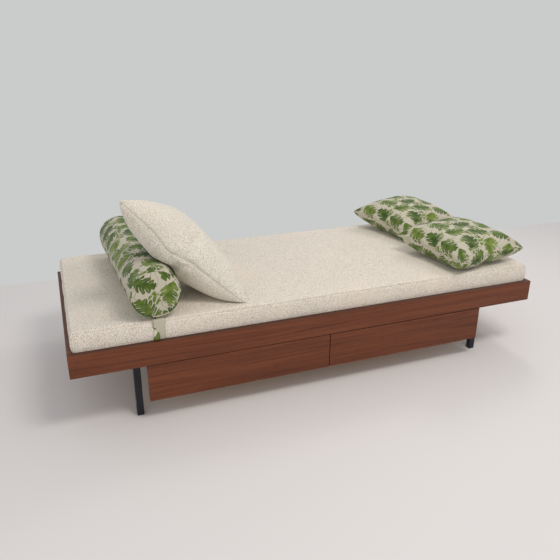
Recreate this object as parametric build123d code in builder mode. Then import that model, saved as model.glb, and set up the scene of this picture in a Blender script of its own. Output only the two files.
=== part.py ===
from build123d import *
from math import asin, cos, degrees, radians, sin, sqrt
import os

# Daybed with a teak frame on two tube leg frames, two drawers under the front rail,
# a boxed mattress, a bolster held by a strap, a long cushion and two square pillows.
# Millimetres. The origin is on the floor under the middle of the frame; +X runs along
# the bed, the drawers open towards -Y and +Z is up.

os.makedirs("parts", exist_ok=True)

# ---------------------------------------------------------------- driving dimensions
# Frame
frame_length = 1940.0
frame_width = 840.0
rail_height = 88.0
rail_thickness = 20.0
rail_underside = 230.0        # above the floor
rail_edge_radius = 1.0
corner_block_width = 30.0

# Slatted base
mattress_recess = 37.0        # depth of the slats below the rails' top edges
slat_count = 13
slat_width = 70.0
slat_thickness = 12.0
slat_end_gap = 1.0            # between a slat's end and the rail
outer_slat_gap = 9.0          # corner block to the outermost slat
ledger_width = 20.0
bearer_width = 45.0
beam_width = 40.0

# Leg frames
tube_size = 25.0
tube_wall = 2.0
tube_corner_radius = 1.5
leg_from_end = 215.0          # rail end to the leg's outer face
leg_from_front = 54.0         # rail face to the leg's face
glide_thickness = 5.0
glide_plug_height = 15.0
glide_plug_gap = 0.2

# Drawer housing
bank_leg_gap = 19.5           # leg to the end of the drawer fronts
drawer_front_gap = 3.0        # between the two fronts
drawer_top_gap = 2.0          # between a front and the rail above it
drawer_front_height = 143.0
drawer_front_thickness = 18.0
housing_inset = 30.0          # end of a drawer front to the housing's side
housing_panel = 15.0
housing_height = 135.0
housing_front_gap = 0.5       # behind the closed drawer fronts
housing_back_thickness = 12.0
stretcher_width = 60.0
stretcher_thickness = 18.0
runner_height = 16.0
runner_width = 8.0
runner_shortfall = 10.0       # runner's length below the drawer's depth
runner_setback = 6.0          # housing front edge to the runner
runner_centre_height = 160.0  # above the floor

# Drawers
drawer_travel = 380.0
drawer_held = 100.0           # what stays in the housing with the drawer open
drawer_back_gap = 48.5        # behind the closed drawer
drawer_box_height = 110.0
drawer_side_thickness = 14.0
drawer_back_thickness = 12.0
drawer_side_gap = 2.0         # to the housing's side and divider
groove_clearance = 0.3        # above and below the runner
groove_tip_clearance = 1.0
bottom_thickness = 5.0
bottom_groove_depth = 6.0
bottom_groove_height = 8.0    # lower edge of the box to the groove
bottom_clearance = 0.3
front_lip_chamfer = 6.0
front_edge_radius = 0.8
dowel_diameter = 8.0
dowel_length = 28.0
dowel_in_front = 13.0
dowel_in_side = 6.0
dowel_edge_distance = 20.0    # from the box's upper and lower edges

# Fasteners
screw_diameter = 4.0
screw_length = 30.0
screw_head_diameter = 8.0
screw_head_height = 2.5
bolt_diameter = 8.0
bolt_length = 60.0
bolt_head_flats = 13.0
bolt_head_height = 5.3
bolt_from_middle = 220.0
hole_clearance = 0.1          # on the radius, around screws, bolts and dowels
hole_spare_depth = 1.0

# Mattress, bolster and strap
mattress_gap = 3.0            # to the rails, on each side
mattress_thickness = 115.0
mattress_corner_radius = 22.0
mattress_edge_radius = 10.0
cloth_thickness = 1.5
cloth_gap = 0.3               # between soft pieces and what they touch
bolster_diameter = 186.0
bolster_length = 723.0
bolster_dome = 14.0
bolster_from_front = 18.0     # rail face to the rim of the bolster's front cap
strap_width = 45.0
strap_thickness = 1.5
strap_slat_count = 2          # slats to the left of the strap, which runs between two
strap_from_bolster = 17.0     # the strap's middle from the bolster's axis, towards +X

# Loose cushions: length and width are tip to tip
side_draw = 0.06              # how far a side is drawn in between its corners
seam_allowance = 12.0
cushion_length = 588.0
cushion_width = 400.0
cushion_thickness = 170.0
cushion_lean = 45.4           # degrees from the mattress
cushion_from_front = 45.0     # rail face to the cushion's near side
pillow_size = 356.0
pillow_thickness = 150.0
pillow_from_end = 244.0       # rail end to each pillow's middle
front_pillow_from_front = 196.0
front_pillow_turn = 5.0       # degrees, seen from above
front_pillow_rise = (5.0, 3.0)  # degrees, towards the end rail and towards the back
back_pillow_from_back = 208.0
back_pillow_turn = 10.0
back_pillow_rise = (5.0, 5.0)

# ---------------------------------------------------------------- derived places
half_length = frame_length / 2
half_width = frame_width / 2
inner_half_length = half_length - rail_thickness
inner_half_width = half_width - rail_thickness
rail_top = rail_underside + rail_height

slat_top = rail_top - mattress_recess
slat_bottom = slat_top - slat_thickness
ledger_height = slat_bottom - rail_underside
ledger_length = 2 * (inner_half_length - corner_block_width)
ledger_middle = inner_half_width - ledger_width / 2
ledger_inner = inner_half_width - ledger_width
last_slat = inner_half_length - corner_block_width - outer_slat_gap - slat_width / 2
slat_pitch = 2 * last_slat / (slat_count - 1)

leg_x = half_length - leg_from_end - tube_size / 2
leg_y = half_width - leg_from_front - tube_size / 2
cross_tube_length = 2 * leg_y - tube_size
cross_tube_underside = rail_underside - tube_size

bank_half = leg_x - tube_size / 2 - bank_leg_gap
drawer_front_top = rail_underside - drawer_top_gap
drawer_front_bottom = drawer_front_top - drawer_front_height
front_width = bank_half - drawer_front_gap / 2
front_face = -half_width
front_back = front_face + drawer_front_thickness

housing_outer = bank_half - housing_inset
housing_inner = housing_outer - housing_panel
housing_front = front_back + housing_front_gap
drawer_depth = drawer_travel + drawer_held
housing_back = front_back + drawer_depth + drawer_back_gap + housing_back_thickness
housing_depth = housing_back - housing_front
housing_bottom = rail_underside - housing_height
stretcher_underside = rail_underside - stretcher_thickness
divider_half = housing_panel / 2

box_bottom = housing_bottom
box_top = box_bottom + drawer_box_height
box_outer = housing_inner - drawer_side_gap
box_inner = divider_half + drawer_side_gap
box_width = box_outer - box_inner
box_middle = (box_outer + box_inner) / 2
box_inside = box_width - 2 * drawer_side_thickness
box_back = front_back + drawer_depth
runner_front = housing_front + runner_setback
runner_length = drawer_depth - runner_shortfall
groove_depth = runner_width - drawer_side_gap + groove_tip_clearance
bottom_groove_floor = box_bottom + bottom_groove_height
bottom_groove_width = bottom_thickness + 2 * bottom_clearance

mattress_length = 2 * (inner_half_length - mattress_gap)
mattress_width = 2 * (inner_half_width - mattress_gap)
mattress_bottom = slat_top + cloth_gap
mattress_top = mattress_bottom + mattress_thickness

bolster_radius = bolster_diameter / 2
strap_x = strap_slat_count * slat_pitch - slat_pitch / 2 - last_slat
bolster_x = strap_x - strap_from_bolster
bolster_y = -half_width + bolster_from_front + bolster_length / 2
strap_top = mattress_top + cloth_gap + strap_thickness
bolster_z = strap_top + cloth_gap + bolster_radius


def finish(piece, name):
    """Label a finished piece and write it as its own STEP file."""
    piece.part.label = name
    export_step(piece.part, f"parts/{name}.step")


# ---------------------------------------------------------------- frame
for name, side in (("front_rail", -1), ("back_rail", 1)):
    with BuildPart() as rail:
        with BuildSketch(Plane.XY.offset(rail_underside)):
            with Locations((0, side * (half_width - rail_thickness / 2))):
                Rectangle(frame_length, rail_thickness)
        extrude(amount=rail_height)
        fillet(rail.edges().filter_by(Axis.X), rail_edge_radius)
    finish(rail, name)

for name, side in (("left_end_rail", -1), ("right_end_rail", 1)):
    with BuildPart() as end_rail:
        with BuildSketch(Plane.XY.offset(rail_underside)):
            with Locations((side * (half_length - rail_thickness / 2), 0)):
                Rectangle(rail_thickness, 2 * inner_half_width)
        extrude(amount=rail_height)
        fillet(end_rail.edges().filter_by(Axis.Y), rail_edge_radius)
    finish(end_rail, name)

for name, x_side, y_side in (
    ("front_left_corner_block", -1, -1),
    ("front_right_corner_block", 1, -1),
    ("back_left_corner_block", -1, 1),
    ("back_right_corner_block", 1, 1),
):
    block_x = x_side * (inner_half_length - corner_block_width / 2)
    block_y = y_side * (inner_half_width - corner_block_width / 2)
    with BuildPart() as corner_block:
        with BuildSketch(Plane.XY.offset(rail_underside)):
            with Locations((block_x, block_y)):
                Rectangle(corner_block_width, corner_block_width)
        extrude(amount=slat_top - rail_underside)
    finish(corner_block, name)

# ---------------------------------------------------------------- slatted base
slat_places = [n * slat_pitch - last_slat for n in range(slat_count)]
slat_length = 2 * (inner_half_width - slat_end_gap)
screw_radius = screw_diameter / 2
screw_hole_radius = screw_radius + hole_clearance
screw_below_slat = screw_length - slat_thickness + hole_spare_depth
screw_below_stretcher = screw_length - stretcher_thickness + hole_spare_depth
stretcher_screw_x = (-housing_inner / 2, 0, housing_inner / 2)
front_stretcher_screws = [(x, -ledger_middle) for x in stretcher_screw_x]

for name, side in (("front_ledger", -1), ("back_ledger", 1)):
    with BuildPart() as ledger:
        with BuildSketch(Plane.XY.offset(rail_underside)):
            with Locations((0, side * ledger_middle)):
                Rectangle(ledger_length, ledger_width)
        extrude(amount=ledger_height)
        with Locations(*[(x, side * ledger_middle, slat_bottom) for x in slat_places]):
            Hole(screw_hole_radius, screw_below_slat)
        if side < 0:
            with Locations(*[(x, y, rail_underside) for x, y in front_stretcher_screws]):
                Hole(screw_hole_radius, screw_below_stretcher)
    finish(ledger, name)

bolt_radius = bolt_diameter / 2
bolt_hole_radius = bolt_radius + hole_clearance
bolt_places = (-bolt_from_middle, bolt_from_middle)
bolt_in_bearer = bolt_length - tube_size + hole_spare_depth

for name, side in (("left_bearer", -1), ("right_bearer", 1)):
    with BuildPart() as bearer:
        with BuildSketch(Plane.XY.offset(rail_underside)):
            with Locations((side * leg_x, 0)):
                Rectangle(bearer_width, 2 * ledger_inner)
        extrude(amount=ledger_height)
        with Locations(*[(side * leg_x, y, rail_underside) for y in bolt_places]):
            Hole(bolt_hole_radius, bolt_in_bearer)
    finish(bearer, name)

beam_length = 2 * leg_x - bearer_width
beam_screws = [(x, 0) for x in stretcher_screw_x]
with BuildPart() as centre_beam:
    with BuildSketch(Plane.XY.offset(rail_underside)):
        Rectangle(beam_length, beam_width)
    extrude(amount=ledger_height)
    with Locations(*[(x, y, rail_underside) for x, y in beam_screws]):
        Hole(screw_hole_radius, screw_below_stretcher)
finish(centre_beam, "centre_beam")

slat_screw_places = [(x, y) for x in slat_places for y in (-ledger_middle, ledger_middle)]
countersink_radius = screw_head_diameter / 2 + hole_clearance
with BuildPart() as slats:
    with BuildSketch(Plane.XY.offset(slat_bottom)):
        with Locations(*[(x, 0) for x in slat_places]):
            Rectangle(slat_width, slat_length)
    extrude(amount=slat_thickness)
    with Locations(*[(x, y, slat_bottom) for x, y in slat_screw_places]):
        Hole(screw_hole_radius, slat_thickness + hole_spare_depth)
    with Locations(*[(x, y, slat_top - screw_head_height / 2) for x, y in slat_screw_places]):
        Cone(
            screw_hole_radius,
            countersink_radius,
            screw_head_height,
            mode=Mode.SUBTRACT,
        )
finish(slats, "slats")

# ---------------------------------------------------------------- leg frames
tube_inside = tube_size - 2 * tube_wall
leg_height = rail_underside - glide_thickness
plug_size = tube_inside - 2 * glide_plug_gap
leg_corners = (
    ("front_left", -1, -1),
    ("front_right", 1, -1),
    ("back_left", -1, 1),
    ("back_right", 1, 1),
)

for name, x_side, y_side in leg_corners:
    with BuildPart() as leg:
        with BuildSketch(Plane.XY.offset(glide_thickness)):
            with Locations((x_side * leg_x, y_side * leg_y)):
                RectangleRounded(tube_size, tube_size, tube_corner_radius)
                Rectangle(tube_inside, tube_inside, mode=Mode.SUBTRACT)
        extrude(amount=leg_height)
    finish(leg, f"{name}_leg")

    with BuildPart() as glide:
        with BuildSketch():
            with Locations((x_side * leg_x, y_side * leg_y)):
                RectangleRounded(tube_size, tube_size, tube_corner_radius)
        extrude(amount=glide_thickness)
        with BuildSketch(Plane.XY.offset(glide_thickness)):
            with Locations((x_side * leg_x, y_side * leg_y)):
                Rectangle(plug_size, plug_size)
        extrude(amount=glide_plug_height)
    finish(glide, f"{name}_glide")

for name, side in (("left_cross_tube", -1), ("right_cross_tube", 1)):
    tube_plane = Plane(
        origin=(side * leg_x, -cross_tube_length / 2, rail_underside - tube_size / 2),
        x_dir=(1, 0, 0),
        z_dir=(0, 1, 0),
    )
    with BuildPart() as cross_tube:
        with BuildSketch(tube_plane):
            RectangleRounded(tube_size, tube_size, tube_corner_radius)
            Rectangle(tube_inside, tube_inside, mode=Mode.SUBTRACT)
        extrude(amount=cross_tube_length)
        with Locations(*[(side * leg_x, y, rail_underside) for y in bolt_places]):
            Hole(bolt_hole_radius, tube_size + hole_spare_depth)
    finish(cross_tube, name)

leg_bolt_places = [(x, y) for x in (-leg_x, leg_x) for y in bolt_places]
with BuildPart() as leg_bolts:
    with BuildSketch(Plane.XY.offset(cross_tube_underside)):
        with Locations(*leg_bolt_places):
            Circle(bolt_radius)
    extrude(amount=bolt_length)
    with BuildSketch(Plane.XY.offset(cross_tube_underside)):
        with Locations(*leg_bolt_places):
            RegularPolygon(bolt_head_flats / 2, 6, major_radius=False)
    extrude(amount=-bolt_head_height)
finish(leg_bolts, "leg_bolts")

# ---------------------------------------------------------------- drawer housing
for name, side in (("left_housing_side", -1), ("right_housing_side", 1)):
    with BuildPart() as housing_side:
        with BuildSketch(Plane.XY.offset(housing_bottom)):
            with Locations((side * (housing_inner + housing_panel / 2), housing_front)):
                Rectangle(housing_panel, housing_depth, align=(Align.CENTER, Align.MIN))
        extrude(amount=housing_height)
    finish(housing_side, name)

divider_depth = housing_depth - housing_back_thickness
with BuildPart() as housing_divider:
    with BuildSketch(Plane.XY.offset(housing_bottom)):
        with Locations((0, housing_front)):
            Rectangle(housing_panel, divider_depth, align=(Align.CENTER, Align.MIN))
    extrude(amount=stretcher_underside - housing_bottom)
finish(housing_divider, "housing_divider")

with BuildPart() as housing_back_panel:
    with BuildSketch(Plane.XY.offset(housing_bottom)):
        with Locations((0, housing_back)):
            Rectangle(2 * housing_inner, housing_back_thickness, align=(Align.CENTER, Align.MAX))
    extrude(amount=stretcher_underside - housing_bottom)
finish(housing_back_panel, "housing_back_panel")

front_stretcher_middle = housing_front + stretcher_width / 2
for name, middle, screws in (
    ("front_stretcher", front_stretcher_middle, front_stretcher_screws),
    ("rear_stretcher", 0, beam_screws),
):
    with BuildPart() as stretcher:
        with BuildSketch(Plane.XY.offset(stretcher_underside)):
            with Locations((0, middle)):
                Rectangle(2 * housing_inner, stretcher_width)
        extrude(amount=stretcher_thickness)
        with Locations(*[(x, y, stretcher_underside) for x, y in screws]):
            Hole(screw_hole_radius, stretcher_thickness + hole_spare_depth)
        head_middle = stretcher_underside + screw_head_height / 2
        with Locations(*[(x, y, head_middle) for x, y in screws]):
            Cone(
                countersink_radius,
                screw_hole_radius,
                screw_head_height,
                mode=Mode.SUBTRACT,
            )
    finish(stretcher, name)

for name, face, direction in (
    ("left_outer_runner", -housing_inner, 1),
    ("left_inner_runner", -divider_half, -1),
    ("right_inner_runner", divider_half, 1),
    ("right_outer_runner", housing_inner, -1),
):
    with BuildPart() as runner:
        with BuildSketch(Plane.XY.offset(runner_centre_height - runner_height / 2)):
            with Locations((face + direction * runner_width / 2, runner_front)):
                Rectangle(runner_width, runner_length, align=(Align.CENTER, Align.MIN))
        extrude(amount=runner_height)
    finish(runner, name)

with BuildPart() as wood_screws:
    with BuildSketch(Plane.XY.offset(slat_top)):
        with Locations(*slat_screw_places):
            Circle(screw_radius)
    extrude(amount=-screw_length)
    with Locations(*[(x, y, slat_top - screw_head_height / 2) for x, y in slat_screw_places]):
        Cone(screw_radius, screw_head_diameter / 2, screw_head_height)
    with BuildSketch(Plane.XY.offset(stretcher_underside)):
        with Locations(*front_stretcher_screws, *beam_screws):
            Circle(screw_radius)
    extrude(amount=screw_length)
    head_middle = stretcher_underside + screw_head_height / 2
    with Locations(*[(x, y, head_middle) for x, y in front_stretcher_screws + beam_screws]):
        Cone(screw_head_diameter / 2, screw_radius, screw_head_height)
finish(wood_screws, "wood_screws")

# ---------------------------------------------------------------- drawers
dowel_radius = dowel_diameter / 2
dowel_hole_radius = dowel_radius + hole_clearance
dowel_heights = (box_bottom + dowel_edge_distance, box_top - dowel_edge_distance)
dowel_in_box = dowel_length - dowel_in_front
dowel_in_back = dowel_length - dowel_in_side
bottom_tongue = bottom_groove_depth - bottom_clearance

for drawer, side in (("left_drawer", -1), ("right_drawer", 1)):
    front_middle = side * (drawer_front_gap + front_width) / 2
    side_middles = {
        "outer": side * (box_outer - drawer_side_thickness / 2),
        "inner": side * (box_inner + drawer_side_thickness / 2),
    }
    # the way from each drawer side towards the middle of its drawer
    inward = {"outer": -side, "inner": side}
    front_dowels = [(x, z) for x in side_middles.values() for z in dowel_heights]

    with BuildPart() as drawer_front:
        with BuildSketch(Plane.XY.offset(drawer_front_bottom)):
            with Locations((front_middle, front_face)):
                Rectangle(front_width, drawer_front_thickness, align=(Align.CENTER, Align.MIN))
        extrude(amount=drawer_front_height)
        lower_back = drawer_front.edges().group_by(Axis.Z)[0].sort_by(Axis.Y)[-1]
        chamfer(lower_back, front_lip_chamfer)
        face_edges = drawer_front.faces().sort_by(Axis.Y)[0].edges()
        fillet(face_edges, front_edge_radius)
        with BuildSketch(Plane.XY.offset(bottom_groove_floor)):
            with Locations((side * box_middle, front_back)):
                Rectangle(box_inside + 2 * bottom_groove_depth, 2 * bottom_groove_depth)
        extrude(amount=bottom_groove_width, mode=Mode.SUBTRACT)
        with BuildSketch(Plane.XZ.offset(-front_back)):
            with Locations(*front_dowels):
                Circle(dowel_hole_radius)
        extrude(amount=dowel_in_front + hole_spare_depth, mode=Mode.SUBTRACT)
    finish(drawer_front, f"{drawer}_front")

    for place, middle in side_middles.items():
        inner_face = middle + inward[place] * drawer_side_thickness / 2
        outer_face = middle - inward[place] * drawer_side_thickness / 2
        with BuildPart() as drawer_side:
            with BuildSketch(Plane.XY.offset(box_bottom)):
                with Locations((middle, front_back)):
                    Rectangle(drawer_side_thickness, drawer_depth, align=(Align.CENTER, Align.MIN))
            extrude(amount=drawer_box_height)
            groove_height = runner_height + 2 * groove_clearance
            with BuildSketch(Plane.XY.offset(runner_centre_height - groove_height / 2)):
                with Locations((outer_face, front_back)):
                    Rectangle(2 * groove_depth, 2 * drawer_depth)
            extrude(amount=groove_height, mode=Mode.SUBTRACT)
            with BuildSketch(Plane.XY.offset(bottom_groove_floor)):
                with Locations((inner_face, front_back)):
                    Rectangle(2 * bottom_groove_depth, 2 * drawer_depth)
            extrude(amount=bottom_groove_width, mode=Mode.SUBTRACT)
            with BuildSketch(Plane.XZ.offset(-front_back)):
                with Locations(*[(middle, z) for z in dowel_heights]):
                    Circle(dowel_hole_radius)
            extrude(amount=-(dowel_in_box + hole_spare_depth), mode=Mode.SUBTRACT)
            with BuildSketch(Plane.YZ.offset(inner_face)):
                with Locations(*[(box_back - drawer_back_thickness / 2, z) for z in dowel_heights]):
                    Circle(dowel_hole_radius)
            back_hole_depth = dowel_in_side + hole_spare_depth
            extrude(amount=-inward[place] * back_hole_depth, mode=Mode.SUBTRACT)
        finish(drawer_side, f"{drawer}_{place}_side")

    back_dowels = [(box_back - drawer_back_thickness / 2, z) for z in dowel_heights]
    with BuildPart() as drawer_back:
        with BuildSketch(Plane.XY.offset(box_bottom)):
            with Locations((side * box_middle, box_back)):
                Rectangle(box_inside, drawer_back_thickness, align=(Align.CENTER, Align.MAX))
        extrude(amount=drawer_box_height)
        with BuildSketch(Plane.XY.offset(bottom_groove_floor)):
            with Locations((side * box_middle, box_back - drawer_back_thickness)):
                Rectangle(box_inside, 2 * bottom_groove_depth)
        extrude(amount=bottom_groove_width, mode=Mode.SUBTRACT)
        for end in (-1, 1):
            with BuildSketch(Plane.YZ.offset(side * box_middle + end * box_inside / 2)):
                with Locations(*back_dowels):
                    Circle(dowel_hole_radius)
            extrude(amount=-end * (dowel_in_back + hole_spare_depth), mode=Mode.SUBTRACT)
    finish(drawer_back, f"{drawer}_back")

    bottom_front = front_back - bottom_tongue
    bottom_back = box_back - drawer_back_thickness + bottom_tongue
    with BuildPart() as drawer_bottom:
        with BuildSketch(Plane.XY.offset(bottom_groove_floor + bottom_clearance)):
            with Locations((side * box_middle, bottom_front)):
                Rectangle(
                    box_inside + 2 * bottom_tongue,
                    bottom_back - bottom_front,
                    align=(Align.CENTER, Align.MIN),
                )
        extrude(amount=bottom_thickness)
    finish(drawer_bottom, f"{drawer}_bottom")

    with BuildPart() as drawer_dowels:
        with BuildSketch(Plane.XZ.offset(-(front_back - dowel_in_front))):
            with Locations(*front_dowels):
                Circle(dowel_radius)
        extrude(amount=-dowel_length)
        for end in (-1, 1):
            dowel_end = side * box_middle + end * (box_inside / 2 + dowel_in_side)
            with BuildSketch(Plane.YZ.offset(dowel_end)):
                with Locations(*back_dowels):
                    Circle(dowel_radius)
            extrude(amount=-end * dowel_length)
    finish(drawer_dowels, f"{drawer}_dowels")


# ---------------------------------------------------------------- mattress
def mattress_form(inset):
    """A box with rounded corners and edges, inset from the mattress's outside."""
    with BuildPart() as form:
        with BuildSketch(Plane.XY.offset(mattress_bottom + inset)):
            RectangleRounded(
                mattress_length - 2 * inset,
                mattress_width - 2 * inset,
                mattress_corner_radius - inset,
            )
        extrude(amount=mattress_thickness - 2 * inset)
        rims = form.faces().filter_by(Axis.Z).edges()
        fillet(rims, mattress_edge_radius - inset)
    return form.part


with BuildPart() as mattress_cover:
    add(mattress_form(0))
    add(mattress_form(cloth_thickness), mode=Mode.SUBTRACT)
finish(mattress_cover, "mattress_cover")

with BuildPart() as mattress_core:
    add(mattress_form(cloth_thickness + cloth_gap))
finish(mattress_core, "mattress_core")

# ---------------------------------------------------------------- bolster and strap
bolster_plane = Plane(
    origin=(bolster_x, bolster_y, bolster_z),
    x_dir=(0, 1, 0),
    z_dir=(1, 0, 0),
)
bolster_axis = Axis((bolster_x, bolster_y, bolster_z), (0, 1, 0))
dome_radius = (bolster_radius**2 + bolster_dome**2) / (2 * bolster_dome)
dome_centre = bolster_length / 2 + bolster_dome - dome_radius


def bolster_form(inset):
    """A cylinder along the bolster's axis with domed ends, inset from its outside."""
    radius = bolster_radius - inset
    end_radius = dome_radius - inset
    spread = degrees(asin(radius / end_radius))
    with BuildPart() as form:
        with BuildSketch(bolster_plane):
            with BuildLine():
                front_end = CenterArc((-dome_centre, 0), end_radius, 180 - spread, spread)
                back_end = CenterArc((dome_centre, 0), end_radius, 0, spread)
                Line(front_end @ 0, back_end @ 1)
                Line(front_end @ 1, back_end @ 0)
            make_face()
        revolve(axis=bolster_axis)
    return form.part


with BuildPart() as bolster_cover:
    add(bolster_form(0))
    add(bolster_form(cloth_thickness), mode=Mode.SUBTRACT)
finish(bolster_cover, "bolster_cover")

with BuildPart() as bolster_core:
    add(bolster_form(cloth_thickness + cloth_gap))
finish(bolster_core, "bolster_core")

strap_plane = Plane.YZ.offset(strap_x - strap_width / 2)
strap_inside_width = mattress_width + 2 * cloth_gap
strap_inside_height = mattress_thickness + 2 * cloth_gap
strap_inside_radius = mattress_edge_radius + cloth_gap
with BuildPart() as bolster_strap:
    with BuildSketch(strap_plane):
        with Locations((0, mattress_bottom + mattress_thickness / 2)):
            RectangleRounded(
                strap_inside_width + 2 * strap_thickness,
                strap_inside_height + 2 * strap_thickness,
                strap_inside_radius + strap_thickness,
            )
            RectangleRounded(
                strap_inside_width,
                strap_inside_height,
                strap_inside_radius,
                mode=Mode.SUBTRACT,
            )
    extrude(amount=strap_width)
finish(bolster_strap, "bolster_strap")


# ---------------------------------------------------------------- loose cushions
def crown_radius(span, thickness):
    """Radius of the arc that crowns a cushion of this span and thickness."""
    return (span**2 + thickness**2) / (4 * thickness)


def cushion_form(plane, length, width, thickness):
    """A knife-edge cushion: crowned both ways, its sides drawn in between the tips."""
    along = Plane(origin=plane.origin, x_dir=plane.x_dir, z_dir=-plane.y_dir)
    across = Plane(origin=plane.origin, x_dir=plane.y_dir, z_dir=plane.x_dir)
    tip_x = length / 2
    tip_y = width / 2
    waist_x = tip_x * (1 - side_draw)
    waist_y = tip_y * (1 - side_draw)
    with BuildPart() as form:
        with BuildSketch(along):
            with BuildLine():
                ThreePointArc((-tip_x, 0), (0, thickness / 2), (tip_x, 0))
                ThreePointArc((-tip_x, 0), (0, -thickness / 2), (tip_x, 0))
            make_face()
        extrude(amount=tip_y, both=True)
        with BuildSketch(across):
            with BuildLine():
                ThreePointArc((-tip_y, 0), (0, thickness / 2), (tip_y, 0))
                ThreePointArc((-tip_y, 0), (0, -thickness / 2), (tip_y, 0))
            make_face()
        extrude(amount=tip_x, both=True, mode=Mode.INTERSECT)
        with BuildSketch(plane):
            with BuildLine():
                ThreePointArc((-tip_x, -tip_y), (0, -waist_y), (tip_x, -tip_y))
                ThreePointArc((tip_x, -tip_y), (waist_x, 0), (tip_x, tip_y))
                ThreePointArc((tip_x, tip_y), (0, waist_y), (-tip_x, tip_y))
                ThreePointArc((-tip_x, tip_y), (-waist_x, 0), (-tip_x, -tip_y))
            make_face()
        extrude(amount=thickness, both=True, mode=Mode.INTERSECT)
    return form.part


def make_cushion(name, plane, length, width, thickness):
    """Write a cushion's sewn cover and the pad inside it."""
    outside = cushion_form(plane, length, width, thickness)
    cavity_loss = 2 * seam_allowance
    cavity = cushion_form(
        plane,
        length - cavity_loss,
        width - cavity_loss,
        thickness - 2 * cloth_thickness,
    )
    with BuildPart() as cover:
        add(outside)
        add(cavity, mode=Mode.SUBTRACT)
    finish(cover, f"{name}_cover")

    pad_loss = cavity_loss + 2 * cloth_gap
    pad_thickness = thickness - 2 * (cloth_thickness + cloth_gap)
    with BuildPart() as pad:
        add(cushion_form(plane, length - pad_loss, width - pad_loss, pad_thickness))
    finish(pad, f"{name}_pad")


# The long cushion stands on its lower tips and leans with its crowned face on the bolster.
lean = radians(cushion_lean)
cushion_half = cushion_length / 2
face_radius = crown_radius(cushion_length, cushion_thickness)
face_centre_height = face_radius - cushion_thickness / 2
lower_tip_z = mattress_top + cloth_gap
contact_distance = face_radius + bolster_radius + cloth_gap
face_centre_z = lower_tip_z + cushion_half * sin(lean) + face_centre_height * cos(lean)
face_centre_x = bolster_x + sqrt(contact_distance**2 - (face_centre_z - bolster_z) ** 2)
cushion_plane = Plane(
    origin=(
        face_centre_x - face_centre_height * sin(lean),
        -half_width + cushion_from_front + cushion_width / 2,
        lower_tip_z + cushion_half * sin(lean),
    ),
    x_dir=(cos(lean), 0, -sin(lean)),
    z_dir=(sin(lean), 0, cos(lean)),
)
make_cushion("long_cushion", cushion_plane, cushion_length, cushion_width, cushion_thickness)

# The square pillows lie on the mattress, turned a little and tipped up towards the corner
# of the bed that is nearest. The lowest point of a tipped pillow is on a crown diagonal.
pillow_face_radius = crown_radius(pillow_size, pillow_thickness)
pillow_face_centre = pillow_face_radius - pillow_thickness / 2
pillow_x = half_length - pillow_from_end
front_pillow_y = -half_width + front_pillow_from_front
back_pillow_y = half_width - back_pillow_from_back
for name, middle_y, turn, rise in (
    ("front_pillow", front_pillow_y, front_pillow_turn, front_pillow_rise),
    ("back_pillow", back_pillow_y, back_pillow_turn, back_pillow_rise),
):
    end_rise, back_rise = radians(rise[0]), radians(rise[1])
    along = Vector(cos(end_rise), 0, sin(end_rise)).rotate(Axis.Z, turn)
    across = Vector(0, cos(back_rise), sin(back_rise)).rotate(Axis.Z, turn)
    normal = along.cross(across).normalized()
    across = normal.cross(along)
    diagonal_slope = abs(along.Z) + abs(across.Z)
    reach = pillow_face_radius * sqrt(diagonal_slope**2 + normal.Z**2)
    pillow_height = reach - pillow_face_centre * normal.Z
    pillow_plane = Plane(
        origin=(pillow_x, middle_y, mattress_top + cloth_gap + pillow_height),
        x_dir=along,
        z_dir=normal,
    )
    make_cushion(name, pillow_plane, pillow_size, pillow_size, pillow_thickness)
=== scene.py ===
import math

import bpy
import numpy as np
from mathutils import Matrix, Vector, noise


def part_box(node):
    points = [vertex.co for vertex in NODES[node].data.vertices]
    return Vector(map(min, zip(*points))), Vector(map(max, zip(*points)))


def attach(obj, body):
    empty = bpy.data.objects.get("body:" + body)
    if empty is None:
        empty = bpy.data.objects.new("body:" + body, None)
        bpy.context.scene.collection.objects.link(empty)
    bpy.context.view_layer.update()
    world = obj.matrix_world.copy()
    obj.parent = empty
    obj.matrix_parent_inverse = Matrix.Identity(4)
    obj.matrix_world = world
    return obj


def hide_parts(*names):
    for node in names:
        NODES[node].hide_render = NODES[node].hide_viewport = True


# The daybed's looks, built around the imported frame. Metres; X runs along the bed to the
# pillow end, the drawers open towards -Y and Z is up.

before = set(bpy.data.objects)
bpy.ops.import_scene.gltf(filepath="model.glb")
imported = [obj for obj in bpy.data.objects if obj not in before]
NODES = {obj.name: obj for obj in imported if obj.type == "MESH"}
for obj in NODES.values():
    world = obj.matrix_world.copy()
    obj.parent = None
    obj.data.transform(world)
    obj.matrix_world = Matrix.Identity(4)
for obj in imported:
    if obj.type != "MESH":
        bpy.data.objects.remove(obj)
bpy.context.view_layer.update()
MATTRESS_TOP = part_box("mattress_cover")[1].z
RAIL_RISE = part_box("left_end_rail")[1].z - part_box("mattress_cover")[0].z  # over its bottom
TINY = 1e-9  # keeps a division from failing

# ---- sizes: mattress
BORDER_SEAM_DEPTH = 0.0050  # how far the border seams are drawn in
BORDER_SEAM_DROP = 0.011  # how far they lie inside the mattress's top and bottom
BORDER_BULGE = 0.0015
END_BULGE, RIGHT_END_BULGE = 0.008, 0.014  # how far its ends swell over the end rails
TOP_EDGE_DROP = 0.0035  # how far the top falls towards its edges
TOP_RIPPLE, BORDER_RIPPLE = (0.16, 0.0022), (0.09, 0.0020)  # size and depth
MATTRESS_CELL = 0.0125
MATTRESS_CORNER = 0.013  # its corners' radius in plan
CORNER_STEPS = 6
WELD_GAP = 0.0002

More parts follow.
